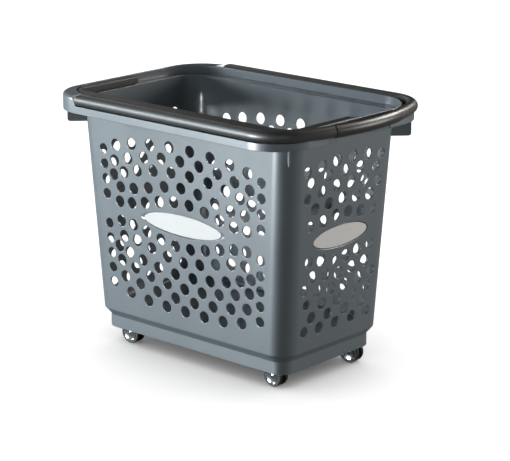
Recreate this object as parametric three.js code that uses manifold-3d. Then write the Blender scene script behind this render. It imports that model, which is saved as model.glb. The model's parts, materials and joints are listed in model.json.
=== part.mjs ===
// Laundry basket on four swivel casters: one perforated, drafted tub with a stepped rim,
// a long pull handle that folds into a recess outside the rim, and a carry handle that
// lies on a ledge inside it. Millimetres, +Z up. The origin is on the floor under the
// middle of the tub, with X along the long side and the pull handle's grip at +X.
import * as THREE from 'three';
import { mergeGeometries, mergeVertices } from 'three/addons/utils/BufferGeometryUtils.js';
import Module from 'manifold-3d';

const wasm = await Module();
wasm.setup();

// ---- Driving dimensions ----

const seat = 0.3;                 // gap between pieces that rest on or in each other
const bite = 1;                   // how far a cutter or a joined feature runs past a face
const tubSegments = 3;            // half the facets of a quarter turn on the tub's corners
const rimSegments = 3;            // the same on the wider corners of the rim
const tubeSegments = 6;           // half the facets round the pull handle's tube
const rodSides = 10;
const roundSides = 24;            // wider round cuts and the pull handle's ends
const stemSides = 12;
const bladeSegments = 3;          // half the facets of the corner of a gusset
const hoodSegments = 5;           // half the facets along a caster's hood
const labelSegments = 8;          // half the facets round a label

// Tub
const wall = 2.7;
const endOverhang = 52.5;         // how far the rim stands out over the foot of each end wall
const sideOverhang = 68;          // the same over each long wall
const baseZ = 71;                 // lower edge of the drafted walls
const cornerRadius = 39;
const endDraft = 0.063;           // outward run of the end walls per unit of height
const sideDraft = 0.039;          // the same for the long side walls

// Plinth under the tub
const plinthInset = 12;
const plinthTopZ = 55;
const plinthBottomZ = 33;

// Rim
const rimHalfLength = 289;
const rimHalfWidth = 205.5;
const rimRadius = 78;
const rimTopZ = 489;
const rimEdge = 5;                // chamfer round the top of the closed end
const skirtDepth = 31.5;          // its lower edge from the rim's top
const recessDepth = 20;           // floor of the pull handle's channel from the rim's top
const ledgeDepth = 15.5;          // the carry handle's ledge from the rim's top
const endChannel = 5.5;           // recess wall from the outside of the rim, at the right end
const sideChannel = 23;           // the same along the long sides
const recessWallRadius = 86;
const recessWallThickness = 2.5;
const fingerGapHalfWidth = 85;    // break in the skirt behind the grip
const fingerGapSlant = 4;

// Corner gussets under the rim
const gussetThickness = 3;
const gussetDepth = 61;           // lower edge from the rim's top
const gussetSetback = 4.5;        // from the outside of the skirt
const gussetRadius = 6;

// Pull handle
const tubeRadius = 11;
const tubeDepth = 6.5;            // centre line from the rim's top
const tubeGap = 4;                // between each side arm and the recess wall
const pullPivotSetback = 91;      // from the left end of the rim
const bowRadius = 391;
const gripReach = 23;             // centre line of the grip beyond the right end of the rim
const bendRadius = 73;
const gripWall = 1;
const gripHalfLength = 86;
const pullLean = 43;              // degrees past upright where the stop holds the handle
const stopGap = 0.6;
const pivotPinRadius = 2.5;
const pivotBossRadius = 6;

// Carry handle
const carryClearance = 1.5;
const carryHeight = 15;
const carryInnerRadius = 24;
const carryEdge = 1.2;
const carryPinRadius = 2.4;

// Label plates
const labelShare = 0.4809;        // of the walls' height, up to the labels' centre lines
const labelHalfHeight = 18.8;
const frontLabelHalfLength = 95.5;
const endLabelHalfLength = 73;
const labelThickness = 1.4;
const labelDepth = 2;
const labelMargin = 2.2;
const labelTip = 7;               // extra length of the recess at each end of the long labels

// Holes. Rows are counted from the label outwards and mirrored below it. Each entry gives the
// outermost column (a half means that no hole stands on the middle line), the pitch next to
// the middle, how far out the last hole is and how far it drops towards the label.
const holeRadius = 11.6;
const smallHoleRadius = 10;
const holeSides = 6;
const rowOffset = 42.1;           // first row from the label's centre line
const rowPitchShare = 0.0665;     // of the walls' height
const rowPitchLoss = 1.8;         // each pitch is this much closer than the one before
const patternHalfLength = 249.16; // half size of a wall that the rows below are drawn for
const patternHalfWidth = 145.34;
const rowsAbove = 5;
const rowsBelow = 6;
const sideRows = [
  { columns: 4.5, pitch: 37.7, reach: 157.3, drop: 23.6 },
  { columns: 4, pitch: 41.4, reach: 152.7, drop: 23.4 },
  { columns: 4.5, pitch: 45, reach: 167.7, drop: 27.5 },
  { columns: 4, pitch: 45.5, reach: 163.6, drop: 25 },
  { columns: 3.5, pitch: 49.1, reach: 157.7, drop: 16.8 },
  { columns: 3, pitch: 49.5, reach: 144.5, drop: 8.2 },
];
const sideEdge = { along: 190, extraPitch: 0.65, above: 4, below: 5 };
const endRows = [
  { columns: 2.5, pitch: 33.7, reach: 84.5, drop: 9.5 },
  { columns: 2, pitch: 36.6, reach: 73.4, drop: 7.3 },
  { columns: 2.5, pitch: 38.4, reach: 94.5, drop: 11.8 },
  { columns: 2, pitch: 42.2, reach: 85.5, drop: 8.2 },
  { columns: 2.5, pitch: 40.6, reach: 96.8, drop: 9.1 },
  { columns: 2, pitch: 47.8, reach: 90.4, drop: 1 },
];
const openEndRow = { row: 4, columns: 1.5, pitch: 47, reach: 70.5, drop: 3.2 };   // below only

// Casters
const wheelRadius = 20;
const wheelTrail = 9;
const wheelSides = 16;
const treadWidth = 8.1;
const rimOfCore = 16.6;
const webHalfThickness = 3;
const wheelSideGap = 0.4;
const axleRadius = 2;
const hubWall = 2.5;
const coreStep = 1;               // back of the core's disc from the end of its hub
const coreLip = 1.4;              // width of the ring round the cap
const coreLipDrop = 0.7;          // that ring's edge below the side of the tyre
const capSeat = 3.6;              // hollow that the cap sits in, at the hub, below that side
const capSeatEdge = 2;            // the same at the ring
const capThickness = 1;
const capDrop = 0.4;              // the cap's rim below the side of the tyre
const tyreInset = 0.6;            // the tyre's inner edge, on the caster's side
const tyreLip = 0.2;              // the same on the outside
const tyreShoulder = 1.2;         // bevel between tread and side, along the radius
const tyreBevel = 1.4;            // the same along the axle
const hoodGap = 1.2;
const hoodThickness = 2.2;
const hoodBack = 48;              // degrees above the axle where the hood ends, trailing side
const hoodFront = 14;             // the same on the swivel's side
const swivelBossRadius = 8;
const socketBottomZ = 50;
const stemRadius = 4;
const stemSocketWall = 4.5;
const stemDepth = 19;             // stem inside the tub's socket
const stemSeat = 7.5;             // stem inside the hood's boss
const casterSetback = 46.5;       // swivel axis from the foot of the end wall
const casterClearance = 0.8;
const casterHeadings = { front_left: 4, front_right: 180, rear_right: 8, rear_left: 152 };

// ---- Values that follow from them ----

const baseHalfLength = rimHalfLength - endOverhang;
const baseHalfWidth = rimHalfWidth - sideOverhang;
const floorTopZ = baseZ + wall;
const tubeZ = rimTopZ - tubeDepth;
const skirtTopZ = tubeZ - tubeRadius - seat;
const skirtBottomZ = rimTopZ - skirtDepth;
const recessFloorZ = rimTopZ - recessDepth;
const recessWallHalfLength = rimHalfLength - endChannel;
const recessWallHalfWidth = rimHalfWidth - sideChannel;
const ledgeZ = rimTopZ - ledgeDepth;
const gussetBottomZ = rimTopZ - gussetDepth;
const tubeHalfSpan = recessWallHalfWidth + tubeGap + tubeRadius;
const pullPivotX = pullPivotSetback - rimHalfLength;
const bowReachX = rimHalfLength + gripReach;
const labelZ = baseZ + labelShare * (rimTopZ - baseZ);
const rowPitch = rowPitchShare * (rimTopZ - baseZ);
const casterX = baseHalfLength - casterSetback;
const recessFloorBottomZ = recessFloorZ - wall;
const ledgeBottomZ = ledgeZ - wall;
const carryBottomZ = ledgeZ + seat;
const carryTopZ = carryBottomZ + carryHeight;
const carryPivotZ = (carryBottomZ + carryTopZ) / 2;
const wheelCentreY = webHalfThickness + wheelSideGap + treadWidth / 2;
const casterHalfWidth = wheelCentreY + treadWidth / 2;
const hubBore = axleRadius + seat;
const hubRadius = hubBore + hubWall;
const hoodInnerRadius = wheelRadius + hoodGap;
const hoodOuterRadius = hoodInnerRadius + hoodThickness;
const hoodReach = hoodOuterRadius * Math.cos(THREE.MathUtils.degToRad(hoodBack));
const casterSweep = Math.hypot(wheelTrail + hoodReach, casterHalfWidth);
const casterY = baseHalfWidth - plinthInset - wall - casterSweep - casterClearance;

const tubOutline = { halfLength: baseHalfLength, halfWidth: baseHalfWidth, radius: cornerRadius };
const rimOutline = { halfLength: rimHalfLength, halfWidth: rimHalfWidth, radius: rimRadius };
const recessWallOutline = {
  halfLength: recessWallHalfLength,
  halfWidth: recessWallHalfWidth,
  radius: recessWallRadius,
};
const ledgeOutline = inset(recessWallOutline, recessWallThickness);

// ---- Materials ----

function plastic(colour, roughness) {
  return new THREE.MeshStandardMaterial({ color: colour, roughness, metalness: 0 });
}

const tubPlastic = plastic(0x8496a3, 0.42);
const handlePlastic = plastic(0x2f2e30, 0.3);
const gripPlastic = plastic(0x3b3937, 0.4);
const carryPlastic = plastic(0x4a4845, 0.5);
const labelPlastic = plastic(0xf2f3f4, 0.35);
const casterPlastic = plastic(0x1d1d1f, 0.45);
const tyreRubber = plastic(0x2a2a2c, 0.75);
const pinSteel = new THREE.MeshStandardMaterial({ color: 0x9a9c9e, roughness: 0.35, metalness: 1 });
const capChrome = new THREE.MeshStandardMaterial({ color: 0xdfe2e5, roughness: 0.08, metalness: 1 });

// ---- Outlines and solids ----

function inset(outline, by) {
  return {
    halfLength: outline.halfLength - by,
    halfWidth: outline.halfWidth - by,
    radius: outline.radius - by,
  };
}

function tubOutlineAt(z, by = 0) {
  return {
    halfLength: tubOutline.halfLength + endDraft * (z - baseZ) - by,
    halfWidth: tubOutline.halfWidth + sideDraft * (z - baseZ) - by,
    radius: tubOutline.radius - by,
  };
}

function plinthOutlineAt(z, by = 0) {
  const share = Math.max(0, (baseZ - z) / (baseZ - plinthTopZ));
  return inset(tubOutline, plinthInset * Math.min(1, share) + by);
}

function roundedRectangle({ halfLength, halfWidth, radius }) {
  const quarter = Math.PI / 2;
  const x = halfLength - radius;
  const y = halfWidth - radius;
  const shape = new THREE.Shape();
  shape.moveTo(halfLength, -y);
  shape.absarc(x, y, radius, 0, quarter);
  shape.absarc(-x, y, radius, quarter, 2 * quarter);
  shape.absarc(-x, -y, radius, 2 * quarter, 3 * quarter);
  shape.absarc(x, -y, radius, 3 * quarter, 4 * quarter);
  return shape;
}

function prism(shape, fromZ, toZ, curveSegments = tubSegments) {
  const depth = toZ - fromZ;
  const geometry = new THREE.ExtrudeGeometry(shape, { depth, bevelEnabled: false, curveSegments });
  return geometry.translate(0, 0, fromZ);
}

// A block whose top outline differs from its bottom one; every outline vertex is on a corner arc.
function taperedBlock(low, fromZ, high, toZ, curveSegments = tubSegments) {
  const geometry = prism(roundedRectangle(low), fromZ, toZ, curveSegments);
  const position = geometry.attributes.position;
  const moved = (value, lowHalf, highHalf) => {
    const share = (Math.abs(value) - lowHalf + low.radius) / low.radius;
    return Math.sign(value) * (highHalf - high.radius + share * high.radius);
  };
  for (let i = 0; i < position.count; i++) {
    if (position.getZ(i) < (fromZ + toZ) / 2) continue;
    position.setX(i, moved(position.getX(i), low.halfLength, high.halfLength));
    position.setY(i, moved(position.getY(i), low.halfWidth, high.halfWidth));
  }
  return geometry;
}

function block(outline, fromZ, toZ, curveSegments = tubSegments) {
  return prism(roundedRectangle(outline), fromZ, toZ, curveSegments);
}

function box(lowX, highX, lowY, highY, lowZ, highZ) {
  const geometry = new THREE.BoxGeometry(highX - lowX, highY - lowY, highZ - lowZ);
  return geometry.translate((lowX + highX) / 2, (lowY + highY) / 2, (lowZ + highZ) / 2);
}

function rodAlongX(radius, fromX, toX, sides = rodSides) {
  const geometry = new THREE.CylinderGeometry(radius, radius, toX - fromX, sides);
  return geometry.rotateZ(-Math.PI / 2).translate((fromX + toX) / 2, 0, 0);
}

function rodAlongY(radius, fromY, toY, sides = rodSides) {
  const geometry = new THREE.CylinderGeometry(radius, radius, toY - fromY, sides);
  return geometry.translate(0, (fromY + toY) / 2, 0);
}

function rodAlongZ(radius, fromZ, toZ, sides = rodSides) {
  const geometry = new THREE.CylinderGeometry(radius, radius, toZ - fromZ, sides);
  return geometry.rotateX(Math.PI / 2).translate(0, 0, (fromZ + toZ) / 2);
}

// A shape drawn in X and Z, given its thickness along Y.
function plateInXZ(shape, fromY, toY, curveSegments = tubSegments) {
  const geometry = prism(shape, -toY, -fromY, curveSegments);
  return geometry.rotateX(Math.PI / 2);
}

function polygon(...points) {
  return new THREE.Shape(points.map(([x, y]) => new THREE.Vector2(x, y)));
}

function solid(geometry) {
  const bare = geometry.clone();
  bare.deleteAttribute('normal');
  bare.deleteAttribute('uv');
  const merged = mergeVertices(bare, 1e-4);
  const vertProperties = new Float32Array(merged.attributes.position.array);
  const triVerts = new Uint32Array(merged.index.array);
  return new wasm.Manifold(new wasm.Mesh({ numProp: 3, vertProperties, triVerts }));
}

function surface(manifold) {
  const { vertProperties, triVerts } = manifold.getMesh();
  const geometry = new THREE.BufferGeometry();
  geometry.setAttribute('position', new THREE.BufferAttribute(new Float32Array(vertProperties), 3));
  geometry.setIndex(new THREE.BufferAttribute(new Uint32Array(triVerts), 1));
  geometry.computeVertexNormals();
  return geometry;
}

function together(geometries) {
  return solid(mergeGeometries(geometries.map((geometry) => {
    const bare = geometry.index ? geometry.toNonIndexed() : geometry.clone();
    bare.deleteAttribute('normal');
    bare.deleteAttribute('uv');
    return bare;
  })));
}

// ---- Tub ----

function tubShell() {
  const outside = solid(taperedBlock(tubOutlineAt(baseZ), baseZ, tubOutlineAt(ledgeZ), ledgeZ));
  const chamfer = solid(taperedBlock(plinthOutlineAt(plinthTopZ), plinthTopZ, tubOutline, baseZ));
  const skirt = solid(block(plinthOutlineAt(plinthTopZ), plinthBottomZ, plinthTopZ));
  return outside.add(chamfer).add(skirt);
}

function tubCavity() {
  const openZ = ledgeZ + bite;
  const low = tubOutlineAt(floorTopZ, wall);
  return solid(taperedBlock(low, floorTopZ, tubOutlineAt(openZ, wall), openZ));
}

// The plinth is an open skirt; its cavity runs up to the underside of the tub's floor.
function plinthCavity() {
  const inner = plinthOutlineAt(plinthTopZ, wall);
  const skirt = solid(block(inner, plinthBottomZ - bite, plinthTopZ));
  return skirt.add(solid(taperedBlock(inner, plinthTopZ, inset(tubOutline, wall), baseZ)));
}

// A socket hangs from the floor over each caster and holds its stem.
function stemSockets() {
  const bores = [];
  const bosses = [];
  for (const { x, y } of casterPlaces()) {
    const boss = rodAlongZ(stemRadius + stemSocketWall, socketBottomZ, baseZ + bite);
    const bore = rodAlongZ(stemRadius + seat, socketBottomZ - bite, socketBottomZ + stemDepth + seat);
    bosses.push(boss.translate(x, y, 0));
    bores.push(bore.translate(x, y, 0));
  }
  return { bosses: together(bosses), bores: together(bores) };
}

// ---- Rim ----

function skirtAndRecessFloor() {
  const inner = inset(rimOutline, wall);
  const blank = solid(block(rimOutline, skirtBottomZ, skirtTopZ, rimSegments));
  const recess = solid(block(inner, recessFloorZ, skirtTopZ + bite, rimSegments));
  const underside = solid(block(inner, skirtBottomZ - bite, recessFloorBottomZ, rimSegments));
  const middle = solid(block(ledgeOutline, skirtBottomZ - bite, skirtTopZ + bite, rimSegments));
  return blank.subtract(recess).subtract(underside).subtract(middle);
}

function recessWall() {
  const blank = solid(block(recessWallOutline, recessFloorBottomZ, rimTopZ, rimSegments));
  const above = solid(block(ledgeOutline, ledgeZ, rimTopZ + bite, rimSegments));
  const below = solid(block(ledgeOutline, recessFloorBottomZ - bite, ledgeBottomZ, rimSegments));
  return blank.subtract(above).subtract(below);
}

// The rim is closed round the left end, and its slanted ends stop the raised pull handle.
function closedEnd() {
  const stopHeight = rimTopZ - tubeZ;
  const lean = THREE.MathUtils.degToRad(pullLean);
  const reach = tubeRadius + stopGap;
  const stopX = pullPivotX - (reach + stopHeight * Math.sin(lean)) / Math.cos(lean);
  const footZ = tubeZ - reach * Math.sin(lean);
  const kneeX = pullPivotX - reach;
  const farX = -rimHalfLength - bite;
  const span = rimHalfWidth + bite;
  const sideOf = (by) => solid(plateInXZ(polygon([farX, skirtBottomZ - bite],
    [kneeX - by, skirtBottomZ - bite], [kneeX - by, footZ], [stopX - by, rimTopZ],
    [farX, rimTopZ]), -span, span));
  const topEdge = inset(rimOutline, rimEdge);
  const straight = solid(block(rimOutline, recessFloorBottomZ, rimTopZ - rimEdge, rimSegments));
  const edge = solid(taperedBlock(rimOutline, rimTopZ - rimEdge, topEdge, rimTopZ, rimSegments));
  const inside = solid(block(ledgeOutline, skirtBottomZ, rimTopZ + bite, rimSegments));
  const roof = rimTopZ - rimEdge - wall / 2;
  const hollow = solid(block(inset(rimOutline, wall), skirtBottomZ, roof, rimSegments))
    .subtract(solid(block(recessWallOutline, skirtBottomZ - bite, rimTopZ, rimSegments)))
    .intersect(sideOf(wall));
  return { filled: straight.add(edge).subtract(inside).intersect(sideOf(0)), hollow };
}

function fingerGap() {
  const nearX = recessWallHalfLength;
  const farX = rimHalfLength + bite;
  const lowHalf = fingerGapHalfWidth + fingerGapSlant / 2;
  const highHalf = fingerGapHalfWidth - fingerGapSlant / 2;
  const shape = polygon([-lowHalf, skirtBottomZ - bite], [lowHalf, skirtBottomZ - bite],
    [highHalf, skirtTopZ + bite], [-highHalf, skirtTopZ + bite]);
  return solid(plateInXZ(shape, -farX, -nearX).rotateZ(Math.PI / 2));
}

function gussets() {
  const tub = tubOutlineAt(gussetBottomZ);
  const centreX = tub.halfLength - tub.radius;
  const centreY = tub.halfWidth - tub.radius;
  const diagonal = Math.SQRT1_2;
  const rimCentreX = rimOutline.halfLength - rimOutline.radius;
  const rimCentreY = rimOutline.halfWidth - rimOutline.radius;
  const along = ((rimCentreX - centreX) + (rimCentreY - centreY)) * diagonal;
  const across = ((rimCentreX - centreX) - (rimCentreY - centreY)) * diagonal;
  const outer = along + Math.sqrt(rimOutline.radius ** 2 - across ** 2) - gussetSetback;
  const inner = tub.radius - wall / 2;
  const top = recessFloorBottomZ + wall / 2;
  const shape = new THREE.Shape();
  shape.moveTo(inner, gussetBottomZ);
  shape.lineTo(outer - gussetRadius, gussetBottomZ);
  shape.absarc(outer - gussetRadius, gussetBottomZ + gussetRadius, gussetRadius, -Math.PI / 2, 0);
  shape.lineTo(outer, top);
  shape.lineTo(inner, top);
  const plates = [];
  for (const [signX, signY] of [[1, 1], [-1, 1], [-1, -1], [1, -1]]) {
    const plate = plateInXZ(shape, -gussetThickness / 2, gussetThickness / 2, bladeSegments);
    plate.rotateZ(Math.atan2(signY, signX));
    plates.push(plate.translate(signX * centreX, signY * centreY, 0));
  }
  return together(plates);
}

function pullPivotBosses() {
  const face = tubeHalfSpan - tubeRadius - seat;
  const bosses = [];
  for (const side of [-1, 1]) {
    const from = side * (recessWallHalfWidth - recessWallThickness / 2);
    const to = side * face;
    const boss = rodAlongY(pivotBossRadius, Math.min(from, to), Math.max(from, to));
    bosses.push(boss.translate(pullPivotX, 0, tubeZ));
  }
  return together(bosses);
}

function pivotHoles() {
  const carryReach = recessWallHalfLength + bite;
  const pull = rodAlongY(pivotPinRadius + seat, -tubeHalfSpan, tubeHalfSpan);
  const carry = rodAlongX(carryPinRadius + seat, -carryReach, carryReach);
  return solid(pull.translate(pullPivotX, 0, tubeZ))
    .add(solid(carry.translate(0, 0, carryPivotZ)));
}

// ---- Hole pattern ----

function rowHeight(row) {
  return rowOffset + row * rowPitch - rowPitchLoss * row * (row - 1) / 2;
}

// The share of a row's drop at a share of its reach: the rows next to the label wrap round
// it, the last one is nearly straight.
function bend(row, share) {
  if (row < 2) return Math.sin(share * Math.PI / 2) ** 2;
  return row < 5 ? share ** 2 : share ** 4;
}

function rowHoles(row, sign, { columns, pitch, reach, drop }) {
  const holes = [];
  for (let column = -columns; column <= columns; column++) {
    const share = column / columns;
    const along = pitch * column - (pitch * columns - reach) * share ** 3;
    const rise = rowHeight(row) - drop * bend(row, Math.abs(along) / reach);
    holes.push({ along, z: labelZ + sign * rise, radius: holeRadius });
  }
  return holes;
}

function sideHoleList() {
  const holes = sideRows.flatMap((spec, row) => [
    ...(row < rowsAbove ? rowHoles(row, 1, spec) : []),
    ...(row < rowsBelow ? rowHoles(row, -1, spec) : []),
  ]);
  for (let row = -sideEdge.below; row <= sideEdge.above; row++) {
    if (row === 0) continue;
    const z = labelZ + row * (rowPitch + sideEdge.extraPitch);
    holes.push({ along: sideEdge.along, z, radius: smallHoleRadius });
    holes.push({ along: -sideEdge.along, z, radius: smallHoleRadius });
  }
  return holes;
}

function endHoleList() {
  return endRows.flatMap((spec, row) => [
    ...(row < rowsAbove ? rowHoles(row, 1, spec) : []),
    ...(row < rowsBelow ? rowHoles(row, -1, row === openEndRow.row ? openEndRow : spec) : []),
  ]);
}

// The pattern spreads with the drafted wall, so a column stays parallel to the corner.
function sideHoles() {
  const span = rimHalfWidth + bite;
  return together(sideHoleList().map((hole) => {
    const x = hole.along * tubOutlineAt(hole.z).halfLength / patternHalfLength;
    return rodAlongY(hole.radius, -span, span, holeSides).translate(x, 0, hole.z);
  }));
}

function endHoles() {
  const span = rimHalfLength + bite;
  return together(endHoleList().map((hole) => {
    const y = hole.along * tubOutlineAt(hole.z).halfWidth / patternHalfWidth;
    const radius = Math.abs(hole.along) > endRows[0].reach - 1 ? smallHoleRadius : hole.radius;
    return rodAlongX(radius, -span, span, holeSides).translate(0, y, hole.z);
  }));
}

// ---- Label plates ----

const labelSides = {
  front: { turn: 0, draft: sideDraft, halfLength: frontLabelHalfLength, tip: labelTip },
  rear: { turn: Math.PI, draft: sideDraft, halfLength: frontLabelHalfLength, tip: labelTip },
  left: { turn: -Math.PI / 2, draft: endDraft, halfLength: endLabelHalfLength, tip: 0 },
  right: { turn: Math.PI / 2, draft: endDraft, halfLength: endLabelHalfLength, tip: 0 },
};

// An elliptical slab on one wall, between two depths below its outer face.
function labelSlab({ turn, draft }, halfLength, halfHeight, fromDepth, toDepth) {
  const shape = new THREE.Shape();
  shape.absellipse(0, 0, halfLength, halfHeight, 0, 2 * Math.PI);
  const slab = plateInXZ(shape, fromDepth, toDepth, labelSegments);
  slab.rotateX(Math.atan(draft));
  const { halfLength: endX, halfWidth: sideY } = tubOutlineAt(labelZ);
  slab.translate(0, draft === endDraft ? -endX : -sideY, labelZ);
  return slab.rotateZ(turn);
}

function labelPad(side) {
  const { halfLength, tip } = side;
  const margin = labelMargin + wall;
  return labelSlab(side, halfLength + margin + tip, labelHalfHeight + margin, wall / 2,
    labelDepth + wall);
}

function labelRecess(side) {
  const { halfLength, tip } = side;
  return labelSlab(side, halfLength + labelMargin + tip, labelHalfHeight + labelMargin, -bite,
    labelDepth);
}

function labelPlate(side) {
  const back = labelDepth - seat;
  return labelSlab(side, side.halfLength, labelHalfHeight, back - labelThickness, back);
}

// ---- The whole tub ----

function basketBody() {
  const labels = Object.values(labelSides);
  const sockets = stemSockets();
  const end = closedEnd();
  const shell = tubShell()
    .add(skirtAndRecessFloor())
    .add(recessWall())
    .subtract(tubCavity())
    .subtract(plinthCavity())
    .subtract(fingerGap())
    .add(end.filled)
    .subtract(end.hollow)
    .add(gussets())
    .add(pullPivotBosses())
    .add(sockets.bosses);
  const padded = labels.reduce((sum, side) => sum.add(solid(labelPad(side))), shell);
  const recessed = labels.reduce((sum, side) => sum.subtract(solid(labelRecess(side))), padded);
  return recessed
    .subtract(sockets.bores)
    .subtract(pivotHoles())
    .subtract(sideHoles())
    .subtract(endHoles());
}

// ---- Pull handle ----

const bowCentreX = bowReachX - bowRadius;
const gripTurn = Math.asin(gripHalfLength / bowRadius);

// The handle's centre line in plan: two straight arms, two bends and a bowed grip. The bow is
// split at the ends of the grip, which follows the same points.
function railPlan() {
  const bendY = tubeHalfSpan - bendRadius;
  const bendX = bowCentreX + Math.sqrt((bowRadius - bendRadius) ** 2 - bendY ** 2);
  const meet = Math.atan2(bendY, bendX - bowCentreX);
  const plan = new THREE.Path();
  plan.moveTo(pullPivotX - tubeRadius, -tubeHalfSpan);
  plan.lineTo(bendX, -tubeHalfSpan);
  plan.absarc(bendX, -bendY, bendRadius, -Math.PI / 2, -meet);
  plan.absarc(bowCentreX, 0, bowRadius, -meet, -gripTurn);
  plan.absarc(bowCentreX, 0, bowRadius, -gripTurn, gripTurn);
  plan.absarc(bowCentreX, 0, bowRadius, gripTurn, meet);
  plan.absarc(bendX, bendY, bendRadius, meet, Math.PI / 2);
  plan.lineTo(pullPivotX - tubeRadius, tubeHalfSpan);
  return plan;
}

function gripPlan() {
  const plan = new THREE.Path();
  plan.absarc(bowCentreX, 0, bowRadius, -gripTurn, gripTurn);
  return plan;
}

// A level curve through the plan's own points: one step per straight, eight per arc.
class Rail extends THREE.Curve {
  constructor(plan) {
    super();
    this.points = plan.getPoints(4).map(({ x, y }) => new THREE.Vector3(x, y, tubeZ));
    this.steps = this.points.length - 1;
  }

  getPointAt(u) {
    return this.points[Math.round(u * this.steps)].clone();
  }

  getTangentAt(u) {
    const at = Math.round(u * this.steps);
    const tangent = new THREE.Vector3();
    for (const from of [at - 1, at]) {
      if (from < 0 || from === this.steps) continue;
      tangent.add(this.points[from + 1].clone().sub(this.points[from]).normalize());
    }
    return tangent.normalize();
  }
}

function ring(outerRadius, innerRadius) {
  const shape = new THREE.Shape();
  shape.absarc(0, 0, outerRadius, 0, 2 * Math.PI);
  if (innerRadius > 0) {
    shape.holes.push(new THREE.Path().absarc(0, 0, innerRadius, 0, 2 * Math.PI));
  }
  return shape;
}

function tubeAlong(plan, shape) {
  const extrudePath = new Rail(plan);
  const { steps } = extrudePath;
  return new THREE.ExtrudeGeometry(shape, { steps, curveSegments: tubeSegments, extrudePath });
}

// The tube's ends are rounded about their pivot.
function pullHandle() {
  const depth = tubeHalfSpan + tubeRadius / 2;
  const bore = rodAlongY(pivotPinRadius + seat, -depth, depth);
  const reach = tubeHalfSpan + tubeRadius + bite;
  const beyond = box(pullPivotX - 2 * tubeRadius, pullPivotX, -reach, reach,
    tubeZ - 2 * tubeRadius, tubeZ + 2 * tubeRadius);
  const rounding = rodAlongY(tubeRadius, -reach - bite, reach + bite, roundSides);
  const trim = solid(beyond).subtract(solid(rounding.translate(pullPivotX, 0, tubeZ)));
  return solid(tubeAlong(railPlan(), ring(tubeRadius, 0)))
    .subtract(trim)
    .subtract(solid(bore.translate(pullPivotX, 0, tubeZ)));
}

function pullGrip() {
  const inner = tubeRadius + seat;
  return tubeAlong(gripPlan(), ring(inner + gripWall, inner));
}

function pullPin(side) {
  const from = side * (recessWallHalfWidth - recessWallThickness + seat);
  const to = side * (tubeHalfSpan + tubeRadius / 2 - seat);
  const pin = rodAlongY(pivotPinRadius, Math.min(from, to), Math.max(from, to));
  return pin.translate(pullPivotX, 0, tubeZ);
}

// ---- Carry handle ----

const carryInner = tubOutlineAt(ledgeZ, wall - carryClearance / 2);

function carryHandle() {
  const outer = inset(ledgeOutline, carryClearance);
  const inner = { ...carryInner, radius: carryInnerRadius };
  const { halfLength, halfWidth, radius } = inset(outer, carryEdge);
  const innerX = inner.halfLength + carryEdge;
  const innerY = inner.halfWidth + carryEdge;
  const shape = new THREE.Shape();
  shape.moveTo(-halfLength, 0);
  shape.absarc(-halfLength + radius, -halfWidth + radius, radius, Math.PI, 1.5 * Math.PI);
  shape.absarc(halfLength - radius, -halfWidth + radius, radius, -Math.PI / 2, 0);
  shape.lineTo(halfLength, 0);
  shape.lineTo(innerX, 0);
  shape.absarc(innerX - inner.radius, -innerY + inner.radius, inner.radius, 0, -Math.PI / 2, true);
  shape.absarc(-innerX + inner.radius, -innerY + inner.radius, inner.radius, -Math.PI / 2,
    -Math.PI, true);
  shape.lineTo(-innerX, 0);
  const bar = new THREE.ExtrudeGeometry(shape, {
    depth: carryHeight - 2 * carryEdge,
    bevelThickness: carryEdge,
    bevelSize: carryEdge,
    bevelSegments: 1,
    curveSegments: rimSegments,
  });
  bar.translate(0, 0, carryBottomZ + carryEdge);
  const trimmed = solid(bar).subtract(solid(box(-rimHalfLength, rimHalfLength, 0, rimHalfWidth,
    carryBottomZ - bite, carryTopZ + bite)));
  const bores = [];
  const ends = [];
  for (const side of [-1, 1]) {
    const from = side * inner.halfLength;
    const to = side * outer.halfLength;
    ends.push(rodAlongX(carryHeight / 2, Math.min(from, to), Math.max(from, to), wheelSides));
    bores.push(rodAlongX(carryPinRadius + seat, Math.min(from, to) - bite, Math.max(from, to) + bite));
  }
  const place = (geometry) => geometry.translate(0, 0, carryPivotZ);
  return trimmed.add(together(ends.map(place))).subtract(together(bores.map(place)));
}

function carryPin(side) {
  const from = side * (carryInner.halfLength + wall / 2);
  const to = side * (recessWallHalfLength - seat);
  const pin = rodAlongX(carryPinRadius, Math.min(from, to), Math.max(from, to));
  return pin.translate(0, 0, carryPivotZ);
}

// ---- Casters, drawn round their own swivel axis with the wheels trailing towards +X ----

function casterPlaces() {
  return Object.entries(casterHeadings).map(([name, heading]) => ({
    name,
    heading: THREE.MathUtils.degToRad(heading),
    x: (name.endsWith('left') ? -1 : 1) * casterX,
    y: (name.startsWith('front') ? -1 : 1) * casterY,
  }));
}

// A flat of the turned outline, not an edge, faces the floor.
function lathe(points, sides = wheelSides) {
  const profile = points.map(([radius, height]) => new THREE.Vector2(radius, height));
  return new THREE.LatheGeometry(profile, sides, Math.PI / sides);
}

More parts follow.
